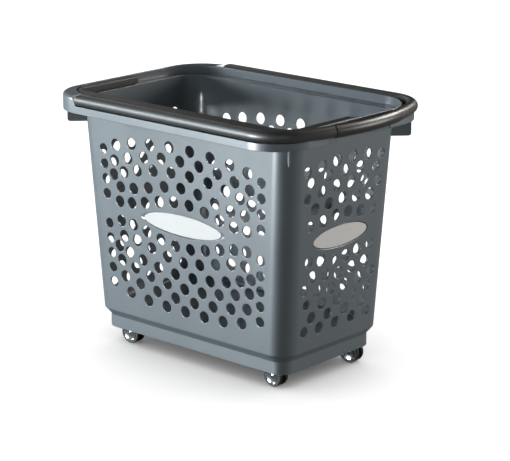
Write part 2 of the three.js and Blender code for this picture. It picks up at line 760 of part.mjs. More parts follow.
function casterHood() {
  const back = THREE.MathUtils.degToRad(hoodBack);
  const front = Math.PI - THREE.MathUtils.degToRad(hoodFront);
  const canopy = new THREE.Shape();
  canopy.absarc(0, 0, hoodOuterRadius, back, front);
  canopy.absarc(0, 0, hoodInnerRadius, front, back, true);
  const web = new THREE.Shape();
  web.absarc(0, 0, hubRadius, Math.PI, 2 * Math.PI);
  web.absarc(0, 0, hoodOuterRadius - hoodThickness / 2, back, front);
  const bossTop = socketBottomZ - seat;
  const bossLow = wheelRadius + Math.sqrt(hoodInnerRadius ** 2 - wheelTrail ** 2);
  const wheelRoom = together([-1, 1].map((side) => {
    const near = side * webHalfThickness;
    const far = side * (casterHalfWidth + bite);
    const room = rodAlongY(hoodInnerRadius, Math.min(near, far), Math.max(near, far),
      roundSides);
    return room.translate(wheelTrail, 0, wheelRadius);
  }));
  const atAxle = (geometry) => geometry.translate(wheelTrail, 0, wheelRadius);
  const bore = rodAlongZ(stemRadius + seat, bossTop - stemSeat - seat, bossTop + bite);
  const axleBore = atAxle(rodAlongY(axleRadius + seat, -casterHalfWidth, casterHalfWidth));
  return solid(atAxle(plateInXZ(canopy, -casterHalfWidth, casterHalfWidth, hoodSegments)))
    .add(solid(rodAlongZ(swivelBossRadius, bossLow, bossTop)).subtract(wheelRoom))
    .add(solid(atAxle(plateInXZ(web, -webHalfThickness, webHalfThickness, hoodSegments))))
    .subtract(solid(bore))
    .subtract(solid(axleBore));
}

function casterStem() {
  const low = socketBottomZ - seat - stemSeat;
  const high = socketBottomZ + stemDepth;
  const grooveDepth = 0.6;
  const grooveTop = high - 4;
  const grooveBottom = high - 6;
  const tip = 1;
  return lathe([[0, low], [stemRadius, low], [stemRadius, grooveBottom],
    [stemRadius - grooveDepth, grooveBottom], [stemRadius - grooveDepth, grooveTop],
    [stemRadius, grooveTop], [stemRadius, high - tip], [stemRadius - tip, high],
    [0, high]], stemSides).rotateX(Math.PI / 2);
}

function wheelCore() {
  const face = treadWidth / 2;
  const back = coreStep - face;
  const lip = face - coreLipDrop;
  const dish = rimOfCore - coreLip;
  return lathe([[hubBore, -face], [hubRadius, -face], [hubRadius, back], [rimOfCore, back],
    [rimOfCore, lip], [dish, lip], [dish, face - capSeatEdge], [hubRadius, face - capSeat],
    [hubBore, face - capSeat], [hubBore, -face]]);
}

// The flats of the tread stand on the floor, so its edges lie a little outside the radius.
function wheelTyre() {
  const face = treadWidth / 2;
  const inner = rimOfCore + seat;
  const tread = wheelRadius / Math.cos(Math.PI / wheelSides);
  return lathe([[inner, tyreInset - face], [tread - tyreShoulder, -face],
    [tread, tyreBevel - face], [tread, face - tyreBevel], [tread - tyreShoulder, face],
    [inner, face - tyreLip], [inner, tyreInset - face]]);
}

function hubCap() {
  const face = treadWidth / 2;
  const rim = rimOfCore - coreLip - seat;
  const back = face - capSeat + seat;
  return lathe([[0, back], [hubRadius, back], [rim, face - capSeatEdge + seat],
    [rim, face - capDrop], [rim - capThickness, face - capDrop],
    [hubRadius, back + capThickness], [0, back + capThickness]]);
}

function casterAxle() {
  const reach = casterHalfWidth - capSeat - seat;
  return rodAlongY(axleRadius, -reach, reach);
}

// ---- Assembly ----

const laundryBasket = new THREE.Group();

function addPiece(parent, name, geometry, material) {
  const mesh = new THREE.Mesh(geometry, material);
  mesh.name = name;
  parent.add(mesh);
  return mesh;
}

function addCaster({ name, heading, x, y }) {
  addPiece(laundryBasket, `${name}_caster_stem`, casterStem(), pinSteel).position.set(x, y, 0);
  const caster = new THREE.Group();
  caster.position.set(x, y, 0);
  caster.rotation.z = heading;
  laundryBasket.add(caster);
  addPiece(caster, `${name}_caster_hood`, surface(casterHood()), casterPlastic);
  const axle = addPiece(caster, `${name}_caster_axle`, casterAxle(), pinSteel);
  axle.position.set(wheelTrail, 0, wheelRadius);
  for (const [label, side] of [['a', -1], ['b', 1]]) {
    const wheel = new THREE.Group();
    wheel.position.set(wheelTrail, side * wheelCentreY, wheelRadius);
    wheel.rotation.x = side < 0 ? Math.PI : 0;
    caster.add(wheel);
    addPiece(wheel, `${name}_wheel_${label}_core`, wheelCore(), casterPlastic);
    addPiece(wheel, `${name}_wheel_${label}_tyre`, wheelTyre(), tyreRubber);
    addPiece(wheel, `${name}_wheel_${label}_hub_cap`, hubCap(), capChrome);
  }
}

addPiece(laundryBasket, 'basket_body', surface(basketBody()), tubPlastic);
addPiece(laundryBasket, 'pull_handle', surface(pullHandle()), handlePlastic);
addPiece(laundryBasket, 'pull_handle_grip', pullGrip(), gripPlastic);
addPiece(laundryBasket, 'pull_pivot_pin_front', pullPin(-1), pinSteel);
addPiece(laundryBasket, 'pull_pivot_pin_rear', pullPin(1), pinSteel);
addPiece(laundryBasket, 'carry_handle', surface(carryHandle()), carryPlastic);
addPiece(laundryBasket, 'carry_pivot_pin_left', carryPin(-1), pinSteel);
addPiece(laundryBasket, 'carry_pivot_pin_right', carryPin(1), pinSteel);
for (const [name, side] of Object.entries(labelSides)) {
  addPiece(laundryBasket, `label_plate_${name}`, labelPlate(side), labelPlastic);
}
casterPlaces().forEach(addCaster);

export default laundryBasket;
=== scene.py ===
import json
import math

import bmesh
import bpy
from mathutils import Matrix, Vector


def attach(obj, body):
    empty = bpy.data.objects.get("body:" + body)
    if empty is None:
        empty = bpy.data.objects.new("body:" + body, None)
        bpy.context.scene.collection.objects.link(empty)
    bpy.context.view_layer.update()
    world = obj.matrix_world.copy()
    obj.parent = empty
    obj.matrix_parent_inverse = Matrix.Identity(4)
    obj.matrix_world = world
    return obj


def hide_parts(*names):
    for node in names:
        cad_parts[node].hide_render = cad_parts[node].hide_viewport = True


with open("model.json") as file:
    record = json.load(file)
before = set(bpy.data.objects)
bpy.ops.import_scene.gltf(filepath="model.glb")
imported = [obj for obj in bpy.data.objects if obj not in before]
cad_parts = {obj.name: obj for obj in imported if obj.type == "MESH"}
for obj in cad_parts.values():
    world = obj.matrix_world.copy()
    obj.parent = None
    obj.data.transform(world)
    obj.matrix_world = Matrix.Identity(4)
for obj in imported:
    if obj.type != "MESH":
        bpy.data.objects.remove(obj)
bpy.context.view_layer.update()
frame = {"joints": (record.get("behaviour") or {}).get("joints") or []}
joints = {joint["name"]: joint for joint in frame["joints"]}
mm = 0.001  # the dictionaries below hold millimetres
beyond = 1  # how far a cutter reaches past the face it opens
farAway = 400  # past every piece
print("frame loaded")


# a surface's numbers as Python expressions: each operator adds its own Math node
class Signal:
    def __init__(self, tree, socket=None):
        self.tree = tree
        self.socket = socket

    def node(self, kind, settings, inputs, output=0):
        node = self.tree.nodes.new(kind)
        for key, value in settings.items():
            if key == "stops":
                for element, (place, shade) in zip(node.color_ramp.elements, value):
                    element.position = place
                    element.color = (shade, shade, shade, 1)
            else:
                setattr(node, key, value)
        for key, value in inputs.items():
            if isinstance(value, Signal):
                self.tree.links.new(value.socket, node.inputs[key])
            else:
                node.inputs[key].default_value = value
        return Signal(self.tree, node.outputs[output] if node.outputs else None)

    def maths(self, operation, first, second):
        return self.node("ShaderNodeMath", {"operation": operation}, {0: first, 1: second})

    def __add__(self, other):
        return self.maths("ADD", self, other)

    def __radd__(self, other):
        return self.maths("ADD", other, self)

    def __sub__(self, other):
        return self.maths("SUBTRACT", self, other)

    def __rsub__(self, other):
        return self.maths("SUBTRACT", other, self)

    def __mul__(self, other):
        return self.maths("MULTIPLY", self, other)

    def __rmul__(self, other):
        return self.maths("MULTIPLY", other, self)


def screenColour(red, green, blue):
    # what a screen shows as these values from 0 to 255
    linear = [((c / 255 + 0.055) / 1.055) ** 2.4 for c in (red, green, blue)]
    return (*linear, 1)


def startMaterial(name):
    material = bpy.data.materials.new(name)
    material.use_nodes = True
    material.node_tree.nodes.clear()
    return material, Signal(material.node_tree)


def finishMaterial(material, start, inputs):
    surface = start.node("ShaderNodeBsdfPrincipled", {}, inputs)
    start.node("ShaderNodeOutputMaterial", {}, {"Surface": surface})
    return material


moulding = {
    "flowScale": 9,  # cloudy flow marks
    "drawScale": (60, 60, 4),  # marks drawn out along the pull of the mould
    "rubScale": 70,
    "rubRange": (0.58, 0.78),
    "flowTint": 0.35,  # how far each moves the colour from fresh to worn
    "rubTint": 0.3,
    "flowRoughness": 0.1,
    "drawRoughness": 0.06,
    "rubRoughness": 0.05,
    "drawHeight": 0.6,
    "skinRoughness": 0.18,  # of the smooth skin, which gloss is the share of
    "bump": 0.0004,
}


def plasticMaterial(name, paint):
    # moulded plastic: a fine grain, cloudy flow marks, faint rubbed patches
    material, start = startMaterial(name)
    place = start.node("ShaderNodeTexCoord", {}, {}, "Object")
    grain = start.node("ShaderNodeTexNoise", {}, {"Vector": place, "Scale": paint["grain"],
                       "Detail": 2.0, "Roughness": 0.6}, "Fac")
    flow = start.node("ShaderNodeTexNoise", {}, {"Vector": place, "Scale": moulding["flowScale"],
                      "Detail": 4.0, "Roughness": 0.55}, "Fac")
    stretched = start.node("ShaderNodeMapping", {}, {"Vector": place,
                           "Scale": moulding["drawScale"]})
    draw = start.node("ShaderNodeTexNoise", {}, {"Vector": stretched, "Scale": 1.0,
                      "Detail": 3.0, "Roughness": 0.7}, "Fac")
    rubbed = start.node("ShaderNodeTexNoise", {}, {"Vector": place,
                        "Scale": moulding["rubScale"], "Detail": 6.0, "Roughness": 0.75}, "Fac")
    none, full = moulding["rubRange"]
    patches = start.node("ShaderNodeValToRGB", {"stops": ((none, 0.0), (full, 1.0))},
                         {"Fac": rubbed})
    tint = moulding["flowTint"] * flow + moulding["rubTint"] * patches
    colour = start.node("ShaderNodeMix", {"data_type": "RGBA"},
                        {"Factor": tint, "A": paint["colour"], "B": paint["worn"]}, "Result")
    smooth = paint["roughness"] - moulding["flowRoughness"] / 2
    roughness = smooth + moulding["flowRoughness"] * flow + moulding["drawRoughness"] * draw
    roughness = roughness - moulding["rubRoughness"] * patches
    height = grain + moulding["drawHeight"] * draw
    normal = start.node("ShaderNodeBump", {}, {"Strength": paint["grainDepth"],
                        "Distance": moulding["bump"], "Height": height})
    return finishMaterial(material, start, {
        "Base Color": colour, "Roughness": roughness, "Normal": normal, "IOR": 1.49,
        "Coat Weight": paint.get("gloss", 0.0), "Coat Roughness": moulding["skinRoughness"],
    })


# grain is in grains per metre
tubMaterial = plasticMaterial("tubPlastic", {
    "colour": screenColour(117, 125, 130), "worn": screenColour(127, 135, 140),
    "roughness": 0.36, "gloss": 0.3, "grain": 1400, "grainDepth": 0.05,
})
handleMaterial = plasticMaterial("handlePlastic", {
    "colour": screenColour(74, 72, 71), "worn": screenColour(88, 85, 82), "roughness": 0.4,
    "grain": 1800, "grainDepth": 0.03,
})
gripMaterial = plasticMaterial("gripPlastic", {
    "colour": screenColour(54, 51, 50), "worn": screenColour(70, 66, 63), "roughness": 0.36,
    "grain": 1500, "grainDepth": 0.06,
})
carryMaterial = plasticMaterial("carryPlastic", {
    "colour": screenColour(62, 60, 58), "worn": screenColour(80, 76, 72), "roughness": 0.42,
    "grain": 1500, "grainDepth": 0.06,
})
labelMaterial = plasticMaterial("labelPlastic", {
    "colour": screenColour(254, 250, 246), "worn": screenColour(242, 240, 237), "roughness": 0.32,
    "grain": 900, "grainDepth": 0.02,
})
casterMaterial = plasticMaterial("casterPlastic", {
    "colour": screenColour(30, 30, 32), "worn": screenColour(48, 48, 50), "roughness": 0.4,
    "grain": 1800, "grainDepth": 0.06,
})
tyreMaterial = plasticMaterial("tyreRubber", {
    "colour": screenColour(34, 34, 36), "worn": screenColour(58, 57, 56), "roughness": 0.62,
    "grain": 2500, "grainDepth": 0.12,
})

metal = {
    "hazeScale": 300,
    "scratchScale": (400, 4000, 400),
    "hazeTint": 0.3,
    "hazeColour": screenColour(150, 150, 152),
    "hazeRoughness": 0.1,
    "scratchRoughness": 0.04,
    "bump": 0.0002,
}


def metalMaterial(name, colour, roughness, scratchDepth):
    # bright metal with light scratches and haze
    material, start = startMaterial(name)
    place = start.node("ShaderNodeTexCoord", {}, {}, "Object")
    haze = start.node("ShaderNodeTexNoise", {}, {"Vector": place, "Scale": metal["hazeScale"],
                      "Detail": 4.0}, "Fac")
    stretched = start.node("ShaderNodeMapping", {}, {"Vector": place,
                           "Scale": metal["scratchScale"]})
    scratches = start.node("ShaderNodeTexNoise", {}, {"Vector": stretched, "Scale": 1.0,
                           "Detail": 3.0}, "Fac")
    shade = start.node("ShaderNodeMix", {"data_type": "RGBA"}, {
        "Factor": metal["hazeTint"] * haze, "A": colour, "B": metal["hazeColour"]}, "Result")
    normal = start.node("ShaderNodeBump", {}, {"Strength": scratchDepth,
                        "Distance": metal["bump"], "Height": scratches})
    rough = roughness + metal["hazeRoughness"] * haze + metal["scratchRoughness"] * scratches
    return finishMaterial(material, start, {
        "Base Color": shade, "Metallic": 1.0, "Normal": normal, "Roughness": rough,
    })


chromeMaterial = metalMaterial("capChrome", screenColour(232, 234, 236), 0.04, 0.03)
steelMaterial = metalMaterial("pinSteel", screenColour(176, 178, 180), 0.26, 0.1)
print("materials made")


def toObject(mesh, name):
    bmesh.ops.recalc_face_normals(mesh, faces=mesh.faces)
    data = bpy.data.meshes.new(name)
    mesh.to_mesh(data)
    mesh.free()
    obj = bpy.data.objects.new(name, data)
    bpy.context.scene.collection.objects.link(obj)
    return obj


def addLoft(mesh, rings, closed=False):
    # skins rings of points, given in millimetres; a closed loft joins its last ring to the first
    loops = [[mesh.verts.new(Vector(point) * mm) for point in ring] for ring in rings]
    for low, high in zip(loops, loops[1:] + (loops[:1] if closed else [])):
        for i in range(len(low)):
            mesh.faces.new((low[i - 1], low[i], high[i], high[i - 1]))
    if not closed:
        mesh.faces.new(loops[0])
        mesh.faces.new(loops[-1])


def loft(rings, closed=False):
    mesh = bmesh.new()
    addLoft(mesh, rings, closed)
    return toObject(mesh, "solid")


def combine(target, operation, *tools):
    for tool in tools:
        step = target.modifiers.new(operation, "BOOLEAN")
        step.operation = operation
        step.solver = "MANIFOLD"
        step.object = tool
    bpy.context.view_layer.update()
    shaped = target.evaluated_get(bpy.context.evaluated_depsgraph_get())
    data = bpy.data.meshes.new_from_object(shaped)
    target.modifiers.clear()
    target.data = data
    for tool in tools:
        bpy.data.objects.remove(tool)
    return target


def quarterRound(radius, steps=4):
    # inset and distance from a face along an edge's rounding; a negative radius flares a cutter
    for step in range(steps + 1 if radius else 1):
        angle = step / steps * math.pi / 2
        yield radius * (1 - math.sin(angle)), abs(radius) * (1 - math.cos(angle))


def grow(outline, by):
    return tuple(size + by for size in outline)


def roundedOutline(outline, steps=20):
    halfLength, halfWidth, radius = outline
    points = []
    for quarter, (signX, signY) in enumerate(((1, 1), (-1, 1), (-1, -1), (1, -1))):
        for step in range(steps + 1):
            angle = (quarter + step / steps) * math.pi / 2
            points.append((signX * (halfLength - radius) + radius * math.cos(angle),
                           signY * (halfWidth - radius) + radius * math.sin(angle)))
    return points


def stack(levels, steps=20):
    return loft([[(x, y, z) for x, y in roundedOutline(outline, steps)] for outline, z in levels])


def block(outline, lowZ, highZ, lowEdge=0, highEdge=0):
    # a negative edge flares the block and takes it past its face, for a cutter
    low = [(grow(outline, -by), lowZ + rise) for by, rise in quarterRound(lowEdge)]
    high = [(grow(outline, -by), highZ - drop) for by, drop in quarterRound(highEdge)]
    if lowEdge < 0:
        low.insert(0, (grow(outline, -lowEdge), lowZ - beyond))
    if highEdge < 0:
        high.insert(0, (grow(outline, -highEdge), highZ + beyond))
    return stack(low + high[::-1])


def plateAlongY(outline, lowY, highY):
    return loft([[(x, y, z) for x, z in outline] for y in (lowY, highY)])


def lathe(profile, sides=48):
    # turns points of radius and height round the Z axis; the first and last are on a flat face
    turn = [2 * math.pi * side / sides for side in range(sides)]
    return [[(radius * math.cos(a), radius * math.sin(a), height) for a in turn]
            for radius, height in profile]


def softened(points, radius, steps=5):
    # rounds the inner corners of an open line
    line = [points[0]]
    for before, at, after in zip(points, points[1:], points[2:]):
        at = Vector(at)
        start, end = Vector(before) - at, Vector(after) - at
        halfAngle = start.angle(end) / 2
        cut = min(radius / math.tan(halfAngle), start.length / 2, end.length / 2)
        first, last = at + start.normalized() * cut, at + end.normalized() * cut
        for step in range(steps + 1):
            t = step / steps
            line.append(tuple(first * (1 - t) ** 2 + at * 2 * t * (1 - t) + last * t ** 2))
    line.append(points[-1])
    return line


def polish(obj, name, material, sharp=38):
    # smooth shading that keeps the flats flat
    obj.name = name
    obj.data.name = name
    obj.data.materials.clear()
    obj.data.materials.append(material)
    for face in obj.data.polygons:
        face.use_smooth = True
    obj.data.set_sharp_from_angle(angle=math.radians(sharp))
    weigh = obj.modifiers.new("weightedNormals", "WEIGHTED_NORMAL")
    weigh.keep_sharp = True
    weigh.weight = 100
    return obj


tub = {
    "wall": 2.7,
    "edge": 0.8,  # rounding of the moulding's free edges
    "halfLength": 236.5,
    "halfWidth": 137.5,
    "baseZ": 71,
    "corner": 39,
    "endDraft": 0.063,
    "sideDraft": 0.039,
    "plinthInset": 12,
    "plinthTopZ": 57.5,
    "plinthRound": 5,
    "plinthBottomZ": 33,
    "slopeStop": 1,  # the hollow under the slope is followed to this far below the floor,
    "slopeSpread": 0.6,  # and spreads by this on the way up to it
    "straightZ": 87,  # the walls are straight from here up
    "ringsZ": (200, 330),  # further rings of faces up the walls
    "floorRound": 5,
}

rim = {
    "outline": (289, 205.5, 78),  # half length, half width and corner radius
    "topZ": 489,
    "topEdge": 6,
    "lipEdge": 1.2,
    "roofDrop": 0.4,  # from the foot of the top's rounding to the roof of the closed end
    "skirtBottomZ": 457.5,
    "skirtTopZ": 471.2,
    "recessFloorZ": 469,
    "recessWall": (283.5, 182.5, 86),
    "recessWallThickness": 2.5,
    "ledgeZ": 473.5,
    "ledgeRound": 1,
    "fingerGap": 85,
    "fingerGapSlant": 4,
}
ledgeOutline = grow(rim["recessWall"], -rim["recessWallThickness"])
recessUnderZ = rim["recessFloorZ"] - tub["wall"]

pull = {
    "radius": 11,
    "z": 482.5,
    "halfSpan": 197.5,
    "pivotX": -198,
    "bowRadius": 391,
    "bowReach": 312,
    "bendRadius": 73,
    "gripHalfLength": 86,
    "gripRadius": 11.9,
    "gripGap": 0.1,
    "gripEnd": ((0, 0.5), (-0.15, 0.15), (-0.5, 0)),  # how far past its end, and the inset there
    "lean": 43,  # how far back its stops let it lean, in degrees
    "stopGap": 0.6,
    "seat": 0.3,
}


def tubOutline(z, by=0.0):
    rise = z - tub["baseZ"]
    return (tub["halfLength"] + tub["endDraft"] * rise - by,
            tub["halfWidth"] + tub["sideDraft"] * rise - by, tub["corner"] - by)


def underside(by):
    # outlines and heights of the plinth and of the slope that joins it to the walls
    low = tub["plinthInset"] + by
    line = softened([(low, tub["plinthBottomZ"]), (low, tub["plinthTopZ"]),
                     (by, tub["baseZ"]), (by, tub["straightZ"])], tub["plinthRound"])
    return [(tubOutline(max(z, tub["baseZ"]), inset), z) for inset, z in line]


def tubWalls():
    wall, edge, top = tub["wall"], tub["edge"], rim["ledgeZ"]
    outer = underside(0)
    lowest, lowZ = outer[0]
    outer[:1] = [(grow(lowest, -edge), lowZ), (lowest, lowZ + edge)]
    walls = stack(outer + [(tubOutline(z), z) for z in (*tub["ringsZ"], top)])
    floorTop = tub["baseZ"] + wall
    cavity = [(tubOutline(floorTop, wall + by), floorTop + rise)
              for by, rise in quarterRound(tub["floorRound"])]
    cavity += [(tubOutline(z, wall), z) for z in (*tub["ringsZ"], top - edge)]
    cavity += [(tubOutline(top, wall + by), top - drop)
               for by, drop in reversed(list(quarterRound(-edge)))][1:]
    cavity.append((tubOutline(top, wall - edge), top + beyond))
    below = [(outline, z) for outline, z in underside(wall) if z < tub["baseZ"] - tub["slopeStop"]]
    below.append((grow(below[-1][0], tub["slopeSpread"]), tub["baseZ"]))
    below[0] = (below[0][0], below[0][1] - beyond)
    return walls, stack(cavity), stack(below)


def rimRing():
    low, high, edge = rim["skirtBottomZ"], rim["skirtTopZ"], tub["edge"]
    inner = grow(rim["outline"], -tub["wall"])
    ring = block(rim["outline"], low, high, edge, edge)
    channel = block(inner, rim["recessFloorZ"], high, edge, -edge)
    underneath = block(inner, low, recessUnderZ, -edge, edge)
    middle = stack([(ledgeOutline, low - 2 * beyond), (ledgeOutline, high + 2 * beyond)])
    return combine(ring, "DIFFERENCE", channel, underneath, middle)


def upstand():
    lip = rim["lipEdge"]
    ring = block(rim["recessWall"], recessUnderZ, rim["topZ"], 0, lip)
    above = block(ledgeOutline, rim["ledgeZ"], rim["topZ"], rim["ledgeRound"], -lip)
    below = stack([(ledgeOutline, recessUnderZ - beyond),
                   (ledgeOutline, rim["ledgeZ"] - tub["wall"])])
    return combine(ring, "DIFFERENCE", above, below)


def closedEnd():
    # the rim is closed round the left end; its slanted ends are the pull handle's stops
    wall, top, low = tub["wall"], rim["topZ"], rim["skirtBottomZ"] - 2 * beyond
    lean = math.radians(pull["lean"])
    reach = pull["radius"] + pull["stopGap"]
    kneeX = pull["pivotX"] - reach
    kneeZ = pull["z"] - reach * math.sin(lean)
    stopX = pull["pivotX"] - (reach + (top - pull["z"]) * math.sin(lean)) / math.cos(lean)
    slant = (kneeX - stopX) / (top - kneeZ)
    halfLength, halfWidth, _ = grow(rim["outline"], beyond)

    def side(by, height):
        highX = kneeX - by - (height - kneeZ) * slant
        return plateAlongY([(-halfLength, low), (kneeX - by, low), (kneeX - by, kneeZ),
                            (highX, height), (-halfLength, height)], -halfWidth, halfWidth)

    filled = block(rim["outline"], recessUnderZ, top, 0, rim["topEdge"])
    combine(filled, "DIFFERENCE", block(ledgeOutline, low, top, 0, -rim["lipEdge"]))
    combine(filled, "INTERSECT", side(0, top + beyond))
    roof = top - rim["topEdge"] - rim["roofDrop"]
    hollow = block(grow(rim["outline"], -wall), low + beyond, roof)
    combine(hollow, "DIFFERENCE", stack([(rim["recessWall"], low - beyond),
                                         (rim["recessWall"], top)]))
    combine(hollow, "INTERSECT", side(wall, roof))
    return filled, hollow


def fingerGap():
    # the skirt is open behind the grip, a little wider at the bottom
    half, slant = rim["fingerGap"], rim["fingerGapSlant"] / 2
    bottom, top = rim["skirtBottomZ"] - 2 * beyond, rim["skirtTopZ"] + 2 * beyond
    nearX, farX = rim["recessWall"][0], rim["outline"][0] + 2 * beyond
    return loft([[(x, -half - slant, bottom), (x, half + slant, bottom),
                  (x, half - slant, top), (x, slant - half, top)] for x in (nearX, farX)])


gusset = {"thickness": 3, "bottomZ": 428, "setback": 4.5, "radius": 6, "edge": 0.5}


def gussets():
    # a rib across each corner, between the tub and the rim
    low, edge, half = gusset["bottomZ"], gusset["edge"], gusset["thickness"] / 2
    tubX, tubY, tubRadius = tubOutline(low)
    centre = Vector((tubX - tubRadius, tubY - tubRadius))
    length, width, radius = rim["outline"]
    rimCentre = Vector((length - radius, width - radius)) - centre
    along = (rimCentre.x + rimCentre.y) / math.sqrt(2)
    across = (rimCentre.x - rimCentre.y) / math.sqrt(2)
    outer = along + math.sqrt(radius ** 2 - across ** 2) - gusset["setback"]
    inner = tubRadius - tub["wall"] / 2
    top = rim["recessFloorZ"] - tub["wall"] / 2
    shape = [(inner, top), *softened([(inner, low), (outer, low), (outer, top)],
                                     gusset["radius"])]
    plates = []
    for signX in (1, -1):
        for signY in (1, -1):
            turn = Matrix.Rotation(math.atan2(signY, signX), 3, "Z")
            middle = Vector((signX * centre.x, signY * centre.y, 0))
            rings = []
            for depth, inset in ((-half, edge), (edge - half, 0), (half - edge, 0), (half, edge)):
                ring = [Vector((x - inset * (x > inner), depth, max(z, low + inset)))
                        for x, z in shape]
                rings.append([turn @ point + middle for point in ring])
            plates.append(loft(rings))
    return plates


def turned(profile, middle, axis, sides=32):
    # a lathe whose own axis is laid along a direction
    turn = Vector((0, 0, 1)).rotation_difference(Vector(axis)).to_matrix()
    return [[turn @ Vector(point) + Vector(middle) for point in ring]
            for ring in lathe(profile, sides)]


pullBoss = {"radius": 6, "sunk": 1.2, "footSpread": 0.8, "footHeight": 2, "edge": 0.5}


def pullBosses():
    low = rim["recessWall"][1] - pullBoss["sunk"]
    high = pull["halfSpan"] - pull["radius"] - pull["seat"]
    radius, edge = pullBoss["radius"], pullBoss["edge"]
    profile = [(radius + pullBoss["footSpread"], low), (radius, low + pullBoss["footHeight"]),
               (radius, high - edge), (radius - edge, high)]
    return [loft(turned(profile, (pull["pivotX"], 0, pull["z"]), (0, side, 0)))
            for side in (1, -1)]


# rows are counted from the label outwards; each has its outermost column, the pitch next to the
# middle, the reach of its last hole and how far that one drops towards the label
holes = {
    "radius": 10.9,
    "smallRadius": 9.4,
    "smallFrom": 83.5,  # holes of the end walls past this are small
    "flare": 0.8,  # how far the rounded mouth of a hole spreads on the outer face
    "flareDepth": 0.8,
    "innerEdge": 0.5,
    "labelZ": 272,
    "first": 42.1,
    "pitch": 27.8,
    "pitchLoss": 1.8,
    "above": 5,
    "below": 6,
    "side": ((4.5, 37.7, 157.3, 23.6), (4, 41.4, 152.7, 23.4), (4.5, 45, 167.7, 27.5),
             (4, 45.5, 163.6, 25), (3.5, 49.1, 157.7, 16.8), (3, 49.5, 144.5, 8.2)),
    "sideEdge": {"along": 190, "pitch": 28.45, "above": 4, "below": 5},
    "end": ((2.5, 33.7, 84.5, 9.5), (2, 36.6, 73.4, 7.3), (2.5, 38.4, 94.5, 11.8),
            (2, 42.2, 85.5, 8.2), (2.5, 40.6, 96.8, 9.1), (2, 47.8, 90.4, 1)),
    "openEnd": {4: (1.5, 47, 70.5, 3.2)},  # below the label only
}
wallTurns = {"front": 0, "right": 90, "rear": 180, "left": 270}


def bend(row, share):
    # the rows next to the label follow its curve, and the far ones drop only at their ends
    if row < 2:
        return math.sin(share * math.pi / 2) ** 2
    return share ** 2 if row < 5 else share ** 4


def rowOfHoles(row, sign, spec):
    last, pitch, reach, drop = spec
    height = holes["first"] + row * holes["pitch"] - holes["pitchLoss"] * row * (row - 1) / 2
    for number in range(int(2 * last) + 1):
        column = number - last
        along = pitch * column - (pitch * last - reach) * (column / last) ** 3
        rise = height - drop * bend(row, abs(along) / reach)
        yield along, holes["labelZ"] + sign * rise


def holePlaces(side):
    onSide = side in ("front", "rear")
    for row, spec in enumerate(holes["side"] if onSide else holes["end"]):
        for sign, rows in ((1, holes["above"]), (-1, holes["below"])):
            if row >= rows:
                continue
            if sign < 0 and not onSide:
                spec = holes["openEnd"].get(row, spec)
            for along, z in rowOfHoles(row, sign, spec):
                small = not onSide and abs(along) > holes["smallFrom"]
                yield along, z, holes["smallRadius"] if small else holes["radius"]
    if onSide:
        edge = holes["sideEdge"]
        for row in range(-edge["below"], edge["above"] + 1):
            for along in (edge["along"], -edge["along"]):
                if row:
                    yield along, holes["labelZ"] + row * edge["pitch"], holes["smallRadius"]


def onWall(side, along, z):
    # a point on a wall's outer face, with the directions along it, up it and into the tub
    length, width, _ = tubOutline(z)
    labelLength, labelWidth, _ = tubOutline(holes["labelZ"])
    onSide = side in ("front", "rear")
    draft = tub["sideDraft"] if onSide else tub["endDraft"]
    spread = length / labelLength if onSide else width / labelWidth
    turn = Matrix.Rotation(math.radians(wallTurns[side]), 3, "Z")
    point = Vector((along * spread, -width if onSide else -length, z))
    up = Vector((0, -draft, 1)).normalized()
    inward = Vector((0, 1, draft)).normalized()
    return turn @ point, turn @ Vector((1, 0, 0)), turn @ up, turn @ inward


def wallRings(side, along, z, outlines):
    # rings drawn on a wall, each at its own depth below the outer face
    point, across, up, inward = onWall(side, along, z)
    return [[point + across * u + up * v + inward * depth for u, v in outline]
            for outline, depth in outlines]


def circle(radius, sides=32):
    return [(radius * math.cos(2 * math.pi * i / sides), radius * math.sin(2 * math.pi * i / sides))
            for i in range(sides)]


def holeCutters():
    mesh = bmesh.new()
    wall = tub["wall"]
    mouth = [(-by * holes["flare"], depth * holes["flareDepth"])
             for by, depth in quarterRound(-1, 5)]
    inside = [(-by, wall - depth) for by, depth in quarterRound(-holes["innerEdge"], 2)]
    profile = [(holes["flare"], -beyond), *mouth, *reversed(inside),
               (holes["innerEdge"], wall + beyond)]
    for side in wallTurns:
        for along, z, radius in holePlaces(side):
            levels = [(radius + spread, depth) for spread, depth in profile]
            addLoft(mesh, wallRings(side, along, z, [(circle(r), d) for r, d in levels]))
    return toObject(mesh, "holeCutters")


label = {
    "halfHeight": 18.8,
    "halfLength": {"front": 95.5, "rear": 95.5, "left": 73, "right": 73},
    "tip": {"front": 7, "rear": 7, "left": 0, "right": 0},
    "margin": 2.8,  # the sloped border round the plate
    "gap": 1.8,  # between the plate and its recess
    # rounding of the border's outer and inner edges and of the plate: how far past the margin,
    # the gap or the plate, how deep, and on the border how far the tips are drawn out
    "outerEdge": ((0.4, 0, 1), (-0.1, 0.208, 0.93)),
    "innerEdge": ((0.25, 1.118, 0.1), (0, 1.3, 0)),
    "plateEdge": ((-0.6, 0), (-0.2, 0.15), (0, 0.5)),
    "depth": 3.3,
    "thickness": 2.7,
    "seat": 0.3,
    "backing": 1.4,
    "backingEdge": 1,
    "pointed": 0.7,  # half the power of the sine that draws a pointed end, and below it an oval
    "oval": 0.5,
}


def labelOutline(halfLength, halfHeight, power, steps=96):
    points = []
    for step in range(steps):
        angle = 2 * math.pi * step / steps
        rise = halfHeight * abs(math.sin(angle)) ** (2 * power)
        points.append((halfLength * math.cos(angle), math.copysign(rise, math.sin(angle))))
    return points


